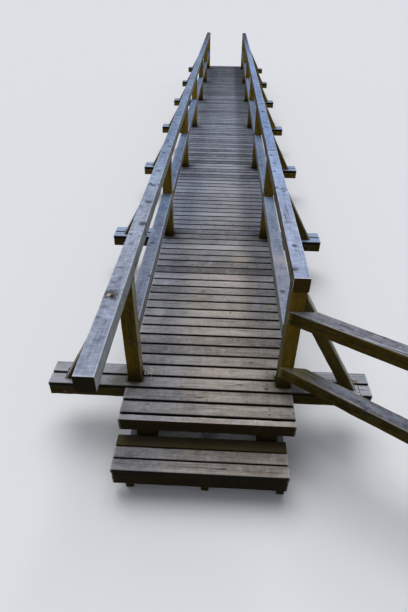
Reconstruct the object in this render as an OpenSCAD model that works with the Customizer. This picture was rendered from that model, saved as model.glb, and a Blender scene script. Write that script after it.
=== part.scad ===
// Timber footbridge with post and rail parapets, raking braces and a board deck.
// X runs across the bridge, Y along it away from the near end, Z up.
// The origin is the middle of the near sill's underside, below the first pair of posts.

/* [Bridge] */
// Number of bays between pairs of posts
bays = 6; // [2:1:7]
// Distance between pairs of posts, centre to centre
bay = 2500; // [1800:50:3200]
// Clear width between the posts
clear_w = 1080; // [800:10:1600]

/* [Beams and sills] */
// Width of a main beam
beam_w = 140; // [100:5:200]
// Depth of a main beam
beam_h = 360; // [300:10:500]
// Depth of a sill
sill_h = 100; // [60:5:200]
// Width of a sill along the bridge
sill_w = 200; // [140:10:300]

/* [Posts and rails] */
// Side of a square post
post_s = 115; // [80:5:140]
// How far a post runs down beside its beam, below the deck
post_tail = 300; // [200:10:330]
// Height of the handrail's top above the deck
rail_top = 1060; // [900:10:1300]
// Side of the square handrail
rail_s = 115; // [70:5:130]
// Height of the mid rail's top above the deck
mid_top = 550; // [400:10:650]
// Side of the square mid rail
mid_s = 115; // [60:5:130]
// How far the left handrail runs out before the first post's centre
left_run = 1044; // [200:2:1400]
// How far the other rail ends run out past the end post's centre
rail_run = 92; // [60:2:300]
// Bays covered by one length of handrail
rail_bays = 2; // [1:1:3]
// Width of the joint between two lengths of handrail
rail_joint = 2; // [1:0.5:6]
// Flat planed off the long edges of rails, posts, braces and transoms
arris = 4; // [1:0.5:10]

/* [Transoms and braces] */
// Thickness of one transom along the bridge
transom_w = 55; // [40:5:90]
// Depth of a transom
transom_h = 95; // [60:5:120]
// Transom beyond the outer edge of the brace, at deck level
transom_over = 125; // [100:5:300]
// Depth of a brace; along the bridge it is as thick as its post
brace_d = 100; // [60:5:120]
// How far the brace's outer edge spreads from its post at deck level
brace_spread = 510; // [350:10:650]
// How far below the handrail that edge meets the post
brace_drop = 40; // [10:5:120]
// Play round a transom in its housing in the beam
housing_play = 1; // [0.5:0.5:4]

/* [Deck] */
// Thickness of a deck board
board_t = 40; // [25:1:60]
// Width of a deck board
board_w = 115; // [90:1:180]
// Gap aimed at between deck boards
board_gap = 17; // [6:1:25]
// Deck board beyond the outer face of the posts
board_over = 5; // [0:5:60]
// Common boards between the cap boards and the trimmer at each end
end_boards = 2; // [1:1:4]
// Long boards that cap a pair of transoms, before its outer side
cap_lip = 0; // [0:1:10]
// Play round a post or brace in its notch in the cap boards
notch_play = 2; // [1:0.5:6]
// Length of the short piece that ends the first long board on the right
patch_l = 90; // [60:5:95]
// Width of the joint between that piece and its board
patch_joint = 4; // [1:1:10]
// Thickness of the trimmer across each end of the deck
trimmer_w = 55; // [40:1:90]
// Depth of that trimmer
trimmer_h = 120; // [80:5:200]
// Edge taken off the long sides of the boards
board_arris = 2; // [0.5:0.5:5]

/* [Step] */
// Drop from the deck to the step
step_drop = 216; // [150:2:260]
// Number of boards in the step
step_boards = 3; // [2:1:4]
// Width of a step board
step_board_w = 98; // [80:1:110]
// Gap between step boards
step_gap = 8; // [4:1:16]
// Length of the step across the bridge
step_l = 1288; // [900:4:1500]
// How far the step sits to the left of the centreline
step_shift = 38; // [0:2:60]
// Gap between the ends of the main beams and the step board nearest to them
step_back_gap = 24; // [10:1:80]
// Thickness of the bearers under the step
step_bearer_w = 60; // [40:5:80]
// Thickness of the riser board
riser_t = 35; // [20:1:50]
// Depth of the riser board
riser_h = 145; // [80:5:180]
// Step board beyond the face of the riser
nosing = 8; // [0:1:30]

/* [Wing] */
// Length of the wing rails along their near side
wing_l = 2500; // [1500:50:3200]
// How far the wing turns back towards the near end
wing_turn = 33; // [20:1:50]
// Height of the top wing rail at the bridge, above the deck
wing_top = 763; // [600:1:850]
// Height of the mid wing rail at the bridge, above the deck
wing_mid = 226; // [150:1:400]
// Slope of the top wing rail, upwards from the bridge
wing_top_rise = 1.5; // [0:0.5:4]
// Slope of the mid wing rail, downwards from the bridge
wing_mid_fall = 2.5; // [0:0.5:4]
// Side of the wing rails
wing_s = 115; // [70:5:120]
// Wing post above the top wing rail
wing_post_over = 30; // [0:5:100]

/* [Hidden] */
frames = bays + 1;
span = bays * bay;
deck_z = sill_h + beam_h + board_t;
beam_top = deck_z - board_t;
post_x = (clear_w + post_s) / 2;
post_in = clear_w / 2;
post_out = post_in + post_s;
deck_half = post_out + board_over;

boards_per_bay = round(bay / (board_w + board_gap));
pitch = bay / boards_per_bay;
real_gap = pitch - board_w;
caps = 2;
cap_start = post_s / 2 + transom_w + cap_lip;
near_beam_end = -cap_start - end_boards * pitch - real_gap;
far_beam_end = span - cap_start + (caps + end_boards) * pitch;

brace_foot = post_out + brace_spread;
brace_top = rail_top - rail_s - brace_drop;
brace_rake = atan2(brace_top, brace_spread);
brace_low = beam_top - transom_h;
transom_reach = brace_foot + transom_over;

step_z = deck_z - step_drop - board_t;
step_front = near_beam_end - step_back_gap - step_boards * (step_board_w + step_gap) + step_gap;

timber = "#8a8578";
shaded = "#5d5744";
board = "#8b8379";
hidden_wood = "#6b6152";

// Place along the bridge of the pair of posts with this number
function frame_y(i) = (i - 1) * bay;

// Rectangle centred on the origin with its corners planed off
module planed(w, h, flat) {
    polygon([
        [-w / 2 + flat, -h / 2], [w / 2 - flat, -h / 2],
        [w / 2, -h / 2 + flat], [w / 2, h / 2 - flat],
        [w / 2 - flat, h / 2], [-w / 2 + flat, h / 2],
        [-w / 2, h / 2 - flat], [-w / 2, -h / 2 + flat]
    ]);
}

// Timber along X, from x0 to x1, with its centre at y and z
module timber_x(x0, x1, y, z, w, h, flat = arris) {
    translate([x0, y, z])
        rotate([90, 0, 90])
            linear_extrude(x1 - x0) planed(w, h, flat);
}

// Timber along Y, from y0 to y1, with its centre at x and z
module timber_y(y0, y1, x, z, w, h, flat = arris) {
    translate([x, y1, z])
        rotate([90, 0, 0])
            linear_extrude(y1 - y0) planed(w, h, flat);
}

// Upright timber, from z0 to z1, with its centre at x and y
module timber_z(z0, z1, x, y, w, d, flat = arris) {
    translate([x, y, z0])
        linear_extrude(z1 - z0) planed(w, d, flat);
}

// The same piece on the left and on the right
module both_sides() {
    children();
    mirror([1, 0, 0]) children();
}

// Main beam on the right, with a housing for each transom
module main_beam() {
    x = post_in - beam_w / 2;
    slot_w = transom_w + 2 * housing_play;
    color(hidden_wood)
    difference() {
        timber_y(near_beam_end, far_beam_end,
            x, sill_h + beam_h / 2, beam_w, beam_h);
        for (i = [1:frames], side = [-1, 1])
            translate([
                x - beam_w,
                frame_y(i) + side * (post_s + transom_w) / 2 - slot_w / 2,
                beam_top - transom_h
            ])
                cube([2 * beam_w, slot_w, 2 * transom_h]);
    }
}

module sill(y) {
    color(hidden_wood)
        timber_x(-deck_half, deck_half, y, sill_h / 2, sill_w, sill_h);
}

// Two cross timbers that clamp the posts and the feet of the braces
module transoms(i) {
    color(shaded)
    for (side = [-1, 1])
        timber_x(-transom_reach, transom_reach,
            frame_y(i) + side * (post_s + transom_w) / 2,
            beam_top - transom_h / 2, transom_w, transom_h);
}

module posts(i) {
    color(timber)
    both_sides()
        timber_z(deck_z - post_tail, deck_z + rail_top - rail_s,
            post_x, frame_y(i), post_s, post_s);
}

// Raking brace, cut upright against its post and level at the underside of the transoms
module braces(i) {
    past = 2 * brace_d;
    color(timber)
    both_sides()
        intersection() {
            translate([brace_foot, frame_y(i), deck_z])
                rotate([0, 90 - brace_rake, 180])
                    translate([brace_d / 2, 0, -past])
                        linear_extrude(2 * past + brace_top / sin(brace_rake))
                            planed(brace_d, post_s, arris);
            translate([post_out, frame_y(i) - post_s, brace_low])
                cube([transom_reach, 2 * post_s, rail_top]);
        }
}

// Handrail from y0 to y1 in lengths that meet over the posts
module handrail(y0, y1) {
    ends = concat([y0], [for (i = [1:rail_bays:bays - 1]) i * bay], [y1]);
    color(timber)
    for (k = [0:len(ends) - 2])
        timber_y(
            ends[k] + (k > 0 ? rail_joint / 2 : 0),
            ends[k + 1] - (k < len(ends) - 2 ? rail_joint / 2 : 0),
            post_x, deck_z + rail_top - rail_s / 2, rail_s, rail_s);
}

module midrail() {
    color(timber)
    for (i = [1:bays])
        timber_y(frame_y(i) + post_s / 2, frame_y(i + 1) - post_s / 2,
            post_x, deck_z + mid_top - mid_s / 2, mid_s, mid_s);
}

// Deck board with its near side at y
module deck_board(y, half = deck_half) {
    timber_x(-half, half, y + board_w / 2, deck_z - board_t / 2, board_w, board_t, board_arris);
}

// The two long boards over the transoms, notched round posts and braces
module cap_boards(i) {
    notch = post_s + 2 * notch_play;
    brace_notch_in = brace_foot - brace_d / sin(brace_rake) - notch_play;
    brace_notch_out = brace_foot + board_t / tan(brace_rake) + notch_play;
    difference() {
        for (k = [0:caps - 1])
            deck_board(frame_y(i) - cap_start + k * pitch, transom_reach);
        both_sides() {
            translate([post_in - notch_play, frame_y(i) - notch / 2, beam_top - board_t])
                cube([notch, notch, 3 * board_t]);
            translate([brace_notch_in, frame_y(i) - notch / 2, beam_top - board_t])
                cube([brace_notch_out - brace_notch_in, notch, 3 * board_t]);
        }
        if (i == 1)
            translate([
                transom_reach - patch_l - patch_joint,
                -cap_start - real_gap / 2,
                beam_top - board_t
            ])
                cube([patch_joint, pitch, 3 * board_t]);
    }
}

module deck_bay(i) {
    color(board) {
        cap_boards(i);
        for (k = [caps:boards_per_bay - 1])
            deck_board(frame_y(i) - cap_start + k * pitch);
    }
}

module deck_end_near() {
    color(board)
    for (k = [1:end_boards])
        deck_board(-cap_start - k * pitch);
}

module deck_end_far() {
    color(board) {
        cap_boards(frames);
        for (k = [1:end_boards])
            deck_board(span - cap_start + (k + caps - 1) * pitch);
    }
}

// Edge timber across the end of the deck, with its near side at y
module trimmer(y) {
    color(shaded)
        timber_x(-deck_half, deck_half, y + trimmer_w / 2, deck_z - trimmer_h / 2,
            trimmer_w, trimmer_h);
}

module step_treads() {
    color(board)
    for (k = [0:step_boards - 1])
        timber_x(-step_shift - step_l / 2, -step_shift + step_l / 2,
            step_front + step_board_w / 2 + k * (step_board_w + step_gap),
            step_z + board_t / 2, step_board_w, board_t, board_arris);
}

module step_riser() {
    color(shaded)
        timber_x(-step_shift - step_l / 2, -step_shift + step_l / 2,
            step_front + nosing + riser_t / 2, step_z - riser_h / 2, riser_t, riser_h, board_arris);
}

// Bearers on edge from the riser back to the sill, the outer two beside the main beams
module step_bearers() {
    color(shaded)
    for (x = [-1, 0, 1])
        timber_y(step_front + nosing + riser_t, -sill_w / 2,
            x * (post_in + step_bearer_w / 2), step_z / 2, step_bearer_w, step_z, board_arris);
}

// Rail of the wing, cut to lie against the near side of the post at this height
module wing_rail(height, slope) {
    near_side = -post_s / 2;
    color(timber)
    intersection() {
        translate([post_in, near_side, deck_z + height])
            rotate([0, 0, -wing_turn])
                rotate([0, -slope, 0])
                    translate([-2 * wing_s, wing_s / 2, -wing_s / 2])
                        rotate([90, 0, 90])
                            linear_extrude(wing_l + 2 * wing_s) planed(wing_s, wing_s, arris);
        translate([-wing_l, near_side - 2 * wing_l, 0])
            cube([4 * wing_l, 2 * wing_l, deck_z + 2 * rail_top]);
    }
}

// Post at the far end of the wing, behind its rails
module wing_post() {
    top = deck_z + wing_top + wing_l * sin(wing_top_rise) + wing_post_over;
    color(timber)
    translate([post_in, -post_s / 2, 0])
        rotate([0, 0, -wing_turn])
            timber_z(0, top, wing_l - post_s, wing_s + post_s / 2, post_s, post_s);
}

mirror([1, 0, 0]) main_beam();  // main_beam_left
main_beam();  // main_beam_right
sill(0);  // sill_near
sill(span);  // sill_far
for (i = [1:frames]) transoms(i);
for (i = [1:frames]) posts(i);
for (i = [1:frames]) braces(i);
mirror([1, 0, 0]) handrail(-left_run, span + rail_run);  // handrail_left
handrail(-rail_run, span + rail_run);  // handrail_right
mirror([1, 0, 0]) midrail();  // midrail_left
midrail();  // midrail_right
for (i = [1:bays]) deck_bay(i);
deck_end_near();
deck_end_far();
trimmer(near_beam_end - trimmer_w);  // trimmer_near
trimmer(far_beam_end);  // trimmer_far
step_treads();
step_riser();
step_bearers();
wing_rail(wing_top, wing_top_rise);  // wing_rail_top
wing_rail(wing_mid, -wing_mid_fall);  // wing_rail_mid
wing_post();
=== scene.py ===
"""Looks of a weathered timber footbridge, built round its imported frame.

X runs across the bridge, Y along it away from the near end, Z up, all in metres.
Every timber is modelled along its own grain and then laid where the frame has it.
"""

import math
import random

import bmesh
import bpy
import numpy as np
from mathutils import Matrix, Vector


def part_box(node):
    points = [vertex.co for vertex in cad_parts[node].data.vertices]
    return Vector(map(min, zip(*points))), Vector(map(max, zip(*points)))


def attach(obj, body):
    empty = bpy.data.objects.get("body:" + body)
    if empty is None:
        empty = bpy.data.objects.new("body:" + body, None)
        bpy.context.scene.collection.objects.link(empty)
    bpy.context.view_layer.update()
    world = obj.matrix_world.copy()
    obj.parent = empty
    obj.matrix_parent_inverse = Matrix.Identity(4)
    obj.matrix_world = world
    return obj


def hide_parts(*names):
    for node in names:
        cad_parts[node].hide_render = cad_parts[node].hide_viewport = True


# The photograph's camera
CAMERA_PLACE = (0.049, -2.545, 3.139)
CAMERA_YAW = -2.22
CAMERA_PITCH = -36.74
CAMERA_ROLL = 0.80
FOCAL_LENGTH_PX = 444.45
PHOTO_HEIGHT_PX = 612
SENSOR_MM = 36.0
SIGHT_END = 500

# Light and floor
SUN_STRENGTH = 2.3
SUN_SPREAD = 50
SUN_DIRECTION = (-0.10, 0.42, 0.9)
EVEN_LIGHT = (240, 244, 255)
EVEN_STRENGTH = 0.34
SEEN_BACKGROUND = (221, 224, 230)
SEEN_FLOOR = (226, 227, 229)
LIT_FLOOR = (120, 120, 118)
FLOOR_SIZE = 400
FLOOR_MIDDLE = (0, 7.5, 0)

# When directions and places count as the same, square, upright or level
STRAIGHT = 0.999
SQUARE = 0.1
UPRIGHT = 0.9
LEVEL = 0.01
SAME_PLACE = 1e-4
ACROSS = (Vector((1, 0, 0)), Vector((0, 1, 0)), Vector((0, 0, 1)))

# Timber, in metres: eased edges, cuts along and across the grain that let it weather, and a
# hollow worn into the top
RAIL_SHAPE = dict(arris=0.004, crosscut=0.05, strips=(4, 4), hollow=0.0)
BRACE_SHAPE = dict(RAIL_SHAPE, arris=0.009)
BEAM_SHAPE = dict(RAIL_SHAPE, crosscut=0.10, strips=(3, 6))
BOARD_SHAPE = dict(RAIL_SHAPE, arris=0.0025, crosscut=0.04, strips=(4, 2))
DECK_SHAPE = dict(BOARD_SHAPE, hollow=0.0012)
DECK_ROCK = 0.25
DECK_SINK = 0.0015
HOLLOW_WIDTH = 0.3
LONG_BOARD = 2.0
HOUSING_PLAY = 0.001
HOUSING_REACH = 0.1
NOTCH_PLAY = 0.002
SAWN_LIMIT = 0.05

# Where the grain's pith may lie: along the timber, to its side and below or above it
PITH_ALONG = 40
PITH_ASIDE = 0.9
PITH_DEPTH = (0.1, 1.6)

# Depths of the broad, fine and edge wear
TIMBER_WEAR = (0.003, 0.0012, 0.003)
BEAM_WEAR = (0.003, 0.0, 0.0)
BOARD_WEAR = (0.001, 0.0008, 0.001)
MID_RAIL_WEAR = (0.0, 0.0006, 0.001)
EDGE_GROUP_START = 0.60
SMOOTH_ANGLE = 35

# How light some timbers are, from 0 to 1: first posts from left to right, first boards, step boards
# The right first post's high tone is painted sunlight on it.
FIRST_POST_TONES = (0.40, 0.95)
DECK_TONES = dict(
    deck_end_near=(0.42, 0.46),
    deck_bay_1=(0.71, 0.62, 0.43, 0.26, 0.29, 0.69, 0.60, 0.62, 0.60, 0.60, 0.40, 0.81, 0.81),
    deck_bay_3=(0.90, 0.80),
)
TREAD_TONES = (0.22, 0.18, 0.50)

# Marks on top of the timbers, each as X, Y, radius, colour and strength
SMUDGE = (74, 72, 80)
SLATE = (88, 90, 102)
LEFT_HANDRAIL_MARKS = (
    (-0.614, -0.345, 0.076, (74, 72, 82), 0.85),
    (-0.606, -0.346, 0.036, (98, 88, 76), 0.75),
    (-0.619, -0.352, 0.019, (196, 182, 160), 0.95),
    (-0.602, -0.362, 0.022, (34, 24, 6), 0.95),
    (-0.620, -0.21, 0.024, SMUDGE, 0.55),
    (-0.625, -0.47, 0.024, SMUDGE, 0.45),
    (-0.640, -0.57, 0.018, SMUDGE, 0.40),
    (-0.615, -0.03, 0.026, SMUDGE, 0.50),
    (-0.600, 0.30, 0.028, SMUDGE, 0.55),
    (-0.600, 1.05, 0.030, SMUDGE, 0.50),
    (-0.600, 1.80, 0.028, SMUDGE, 0.60),
    (-0.620, 2.25, 0.030, SMUDGE, 0.60),
)
RIGHT_HANDRAIL_MARKS = (
    (0.600, 0.28, 0.020, (92, 92, 100), 0.60),
    (0.570, 0.73, 0.034, SLATE, 0.60),
    (0.620, 1.42, 0.040, SMUDGE, 0.60),
    (0.570, 1.88, 0.034, SLATE, 0.60),
    (0.570, 2.38, 0.036, SMUDGE, 0.60),
)
RIGHT_MID_RAIL_MARKS = (
    (0.617, 1.00, 0.140, (186, 182, 186), 0.70),
    (0.600, 0.78, 0.080, (176, 178, 188), 0.50),
)
DECK_MARKS = (
    (0.295, 1.93, 0.16, (172, 156, 146), 0.55),
    (0.20, 1.50, 0.13, (172, 160, 158), 0.45),
    (-0.505, 1.39, 0.07, (172, 176, 200), 0.50),
    (-0.52, 0.875, 0.09, (180, 182, 196), 0.55),
    (0.44, 1.05, 0.06, (150, 160, 186), 0.35),
    (-0.74, -0.06, 0.10, (98, 94, 76), 0.60),
    # Painted shadow of the wing rails on the deck, right of the first post.
    (0.72, -0.07, 0.10, (72, 68, 64), 0.75),
    (1.186, 0.04, 0.026, (98, 58, 40), 0.65),
)
LICHEN_PLACE = (-0.50, 0.055)
LICHEN_RADIUS = 0.045
LICHEN_COLOUR = (206, 208, 214)

# Fixings, in metres, and their rims as shares of radius or height
NAIL_RADIUS = 0.0055
NAIL_HEIGHT = 0.0025
NAIL_RIM = 0.35
NAIL_CROWN = 0.3
NAIL_INSET = 0.030
NAIL_STRAY_X = 0.012
NAIL_STRAY_Y = 0.004
WASHER_RADIUS = 0.022
WASHER_THICKNESS = 0.003
WASHER_EDGE = 0.3
BOLT_HEAD_RADIUS = 0.012
BOLT_HEAD_HEIGHT = 0.008
BOLT_HEAD_EDGE = 0.15


def paint(red, green, blue):
    """Linear colour of an ordinary 0 to 255 screen colour."""
    linear = [
        value / 255 / 12.92
        if value / 255 <= 0.04045
        else ((value / 255 + 0.055) / 1.055) ** 2.4
        for value in (red, green, blue)
    ]
    return (*linear, 1.0)


# Selecting and editing, as by hand


def clear_selection():
    bpy.ops.object.select_all(action="DESELECT")


def pick(*pieces):
    """Selects these pieces alone and makes the first one active."""
    clear_selection()
    for piece in pieces:
        piece.select_set(True)
    bpy.context.view_layer.objects.active = pieces[0]


def set_mode(mode):
    bpy.ops.object.mode_set(mode=mode)


def choose(piece, kind, wanted):
    """In edit mode, selects only the vertices, edges or faces that pass the test."""
    bpy.ops.mesh.select_mode(type=kind)
    bpy.ops.mesh.select_all(action="DESELECT")
    mesh = bmesh.from_edit_mesh(piece.data)
    for part in {"VERT": mesh.verts, "EDGE": mesh.edges, "FACE": mesh.faces}[kind]:
        if wanted(part):
            part.select_set(True)
    bmesh.update_edit_mesh(piece.data)


def along(axis):
    """Test for an edge that runs along one axis."""

    def wanted(edge):
        gap = edge.verts[1].co - edge.verts[0].co
        return abs(gap[axis]) > STRAIGHT * gap.length

    return wanted


def just_added():
    """The object just added, with its place and scale applied."""
    bpy.ops.object.transform_apply()
    return bpy.context.object


def new_block(size, place=(0, 0, 0)):
    """A plain block, to shape or to cut with."""
    clear_selection()
    bpy.ops.mesh.primitive_cube_add(size=1, location=place, scale=size)
    return just_added()


def put_in_scene(thing):
    bpy.context.scene.collection.objects.link(thing)
    return thing


def rotation(degrees, axis):
    return Matrix.Rotation(math.radians(degrees), 4, axis)


def own_copy(master, matrix=Matrix()):
    """A copy with its own mesh, moved by this matrix."""
    copied = master.copy()
    copied.data = master.data.copy()
    copied.data.transform(matrix)
    return put_in_scene(copied)


def join_pieces(pieces, name):
    pick(*pieces)
    if len(pieces) > 1:
        bpy.ops.object.join()
    pieces[0].name = name
    pieces[0].data.name = name
    return pieces[0]


# Reading the frame


def solids_of(node):
    """The separate solids of a CAD node, each as its triangles."""
    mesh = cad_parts[node].data
    number = {}
    corner = [number.setdefault(tuple(v.co), len(number)) for v in mesh.vertices]
    leader = list(range(len(number)))

    def lead(point):
        while leader[point] != point:
            leader[point] = leader[leader[point]]
            point = leader[point]
        return point

    for face in mesh.polygons:
        first, *rest = [corner[v] for v in face.vertices]
        for other in rest:
            leader[lead(other)] = lead(first)
    places = list(number)
    solids = {}
    for face in mesh.polygons:
        triangle = [Vector(places[corner[v]]) for v in face.vertices]
        solids.setdefault(lead(corner[face.vertices[0]]), []).append(triangle)
    found = list(solids.values())
    found.sort(key=lambda solid: tuple(round(c, 3) for c in middle_of(solid)))
    return found


def corners_of(solid):
    """Lowest and highest corner of a solid's box."""
    columns = zip(*(point for triangle in solid for point in triangle))
    low, high = zip(*((min(column), max(column)) for column in columns))
    return Vector(low), Vector(high)


def middle_of(solid):
    low, high = corners_of(solid)
    return (low + high) / 2


def facing(triangle):
    """Normal of a triangle, as long as twice its area."""
    a, b, c = triangle
    return (b - a).cross(c - a)


def grain_frame(solid):
    """Axes of a straight timber: along its grain, to its side and up from its face."""
    normals = sorted((facing(t) for t in solid), key=lambda n: -n.length)
    face = normals[0].normalized()
    side = next(n.normalized() for n in normals if abs(n.normalized().dot(face)) < SQUARE)
    grain = face.cross(side).normalized()
    axis = 1 if abs(grain.z) > UPRIGHT else 2
    up = max((face, side), key=lambda n: abs(n[axis]))
    if max(grain, key=abs) < 0:
        grain.negate()
    if up.z < -LEVEL or (abs(up.z) <= LEVEL and up.y > 0):
        up = -up
    return grain, up.cross(grain).normalized(), up


def timber_frame(solid, axes=None):
    """Matrix that lays a timber modelled along X on this solid, its size, and its sloping cuts."""
    axes = axes or grain_frame(solid)
    points = [point for triangle in solid for point in triangle]
    spans = [[function(p.dot(axis) for p in points) for function in (min, max)] for axis in axes]
    size = [high - low for low, high in spans]
    centre = sum((axis * (low + high) / 2 for axis, (low, high) in zip(axes, spans)), Vector())
    matrix = Matrix.Translation(centre) @ Matrix(axes).transposed().to_4x4()
    turn_back = matrix.inverted()
    cuts = {}
    for triangle in solid:
        normal = facing(triangle).normalized()
        if SAWN_LIMIT < abs(normal.dot(axes[0])) < STRAIGHT:
            local = turn_back.to_3x3() @ normal
            cuts[tuple(round(c, 3) for c in local)] = (turn_back @ triangle[0], local)
    return matrix, size, list(cuts.values())


# Modelling one timber


def model_timber(size, cuts, arris, crosscut, strips, hollow):
    """A sawn timber along X with eased edges and enough cuts to weather it."""
    timber = new_block(size)
    set_mode("EDIT")
    for axis, count in zip((1, 2), strips):
        choose(timber, "EDGE", along(axis))
        bpy.ops.mesh.subdivide(number_cuts=count - 1)

    def long_corner(edge):
        return all(
            abs(abs(vertex.co[axis]) - size[axis] / 2) < SAME_PLACE
            for vertex in edge.verts
            for axis in (1, 2)
        )

    choose(timber, "EDGE", long_corner)
    bpy.ops.mesh.bevel(offset=arris, segments=2)
    rings = max(2, round(size[0] / crosscut))
    choose(timber, "EDGE", along(0))
    bpy.ops.mesh.subdivide(number_cuts=rings - 1)
    for place, normal in cuts:
        bpy.ops.mesh.select_all(action="SELECT")
        bpy.ops.mesh.bisect(plane_co=place, plane_no=normal, clear_outer=True, use_fill=True)
    set_mode("OBJECT")
    mark_timber(timber, size)
    if hollow:
        hollow_top(timber, size, hollow)
    return timber


def vectors_of(mesh, name):
    """A vector attribute of a mesh, one row for each point."""
    values = np.empty(len(mesh.vertices) * 3, np.float32)
    mesh.attributes[name].data.foreach_get("vector", values)
    return values.reshape(-1, 3)


def add_mark(mesh, name, values, kind="FLOAT", domain="POINT"):
    """Gives a mesh a new attribute with these values."""
    mark = mesh.attributes.new(name, kind, domain)
    mark.data.foreach_set("value" if kind == "FLOAT" else "vector", np.float32(values).ravel())


def mark_timber(timber, size):
    """Keeps each point's place in the timber, for the wood's figure, and marks the sawn ends."""
    mesh = timber.data
    places = vectors_of(mesh, "position")
    add_mark(mesh, "grain", places, "FLOAT_VECTOR")
    add_mark(mesh, "share", places / (np.array(size, np.float32) / 2), "FLOAT_VECTOR")
    add_mark(mesh, "from_end", size[0] / 2 - np.abs(places[:, 0]))
    sawn = [abs(face.normal.x) > SAWN_LIMIT for face in mesh.polygons]
    add_mark(mesh, "sawn", sawn, domain="FACE")
    add_mark(mesh, "tone", np.zeros(len(places)))


def hollow_top(timber, size, depth):
    """Wears a shallow hollow along the middle of the top face."""

    def in_hollow(vertex):
        on_top = vertex.co.z > size[2] / 2 - SAME_PLACE
        return on_top and abs(vertex.co.y) < size[1] * HOLLOW_WIDTH

    pick(timber)
    set_mode("EDIT")
    choose(timber, "VERT", in_hollow)
    bpy.ops.transform.translate(value=(0, 0, -depth))
    set_mode("OBJECT")


def cut_out(piece, cutters):
    """Saws notches or housings out of a piece."""
    for cutter in cutters:
        pick(piece)
        notch = piece.modifiers.new("notch", "BOOLEAN")
        notch.object = cutter
        notch.operation = "DIFFERENCE"
        notch.solver = "EXACT"
        bpy.ops.object.modifier_apply(modifier=notch.name)
        bpy.data.objects.remove(cutter)


masters = {}


def master_timber(size, cuts, shape):
    """Models each kind of timber once, for its copies."""
    rounded_cuts = [tuple(round(c, 3) for c in (*place, *normal)) for place, normal in cuts]
    kind = (*(round(side, 4) for side in size), *rounded_cuts, *shape.values())
    if kind not in masters:
        masters[kind] = model_timber(size, cuts, **shape)
    return masters[kind]


def lay_timber(solid, chance, shape=RAIL_SHAPE, tone=None, axes=None, rock=0.0, sink=0.0):
    """Copies the right kind of timber onto a solid, with its own grain and tone."""
    matrix, size, cuts = timber_frame(solid, axes)
    timber = own_copy(master_timber(size, cuts, shape))
    mesh = timber.data
    pith = (
        chance.uniform(0, PITH_ALONG),
        chance.uniform(-PITH_ASIDE, PITH_ASIDE) * size[1] / 2,
        chance.choice((-1, 1)) * chance.uniform(*PITH_DEPTH) * max(size[2], size[1]) / 2,
    )
    places = vectors_of(mesh, "grain") + np.array(pith, np.float32)
    mesh.attributes["grain"].data.foreach_set("vector", places.ravel())
    drawn = chance.random()
    tone = drawn if tone is None else tone
    mesh.attributes["tone"].data.foreach_set("value", [tone] * len(mesh.vertices))
    turn = rotation(chance.uniform(-rock, rock), "X")
    settle = Matrix.Translation((0, 0, -chance.uniform(0, sink)))
    mesh.transform(matrix @ settle @ turn)
    return timber


# Weathering the shapes


def cloud(name, size, depth=2, contrast=1.0):
    texture = bpy.data.textures.new(name, "CLOUDS")
    texture.noise_scale = size
    texture.noise_depth = depth
    texture.contrast = contrast
    return texture


def sink_surface(piece, texture, depth, group=""):
    """Lets the surface sink by up to this depth, and never rise."""
    wear = piece.modifiers.new("wear", "DISPLACE")
    wear.texture = texture
    wear.texture_coords = "LOCAL"
    wear.direction = "NORMAL"
    wear.mid_level = 1.0
    wear.strength = depth
    wear.vertex_group = group
    bpy.ops.object.modifier_apply(modifier=wear.name)


def group_edges(piece):
    """Puts the points along the timbers' long edges in a group."""
    nearness = np.abs(vectors_of(piece.data, "share")[:, 1:]).min(axis=1)
    group = piece.vertex_groups.new(name="edges")
    group.add(np.nonzero(nearness > EDGE_GROUP_START)[0].tolist(), 1.0, "REPLACE")


def weather_shape(piece, sag, rough, chips):
    """Drying, wear and chipped edges, as small changes to the shape."""
    pick(piece)
    group_edges(piece)
    for name, depth, group in (("broad", sag, ""), ("fine", rough, ""), ("chips", chips, "edges")):
        if depth:
            sink_surface(piece, clouds[name], depth, group)
    piece.vertex_groups.clear()
    bpy.ops.object.shade_smooth_by_angle(angle=math.radians(SMOOTH_ANGLE))


# Materials


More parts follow.
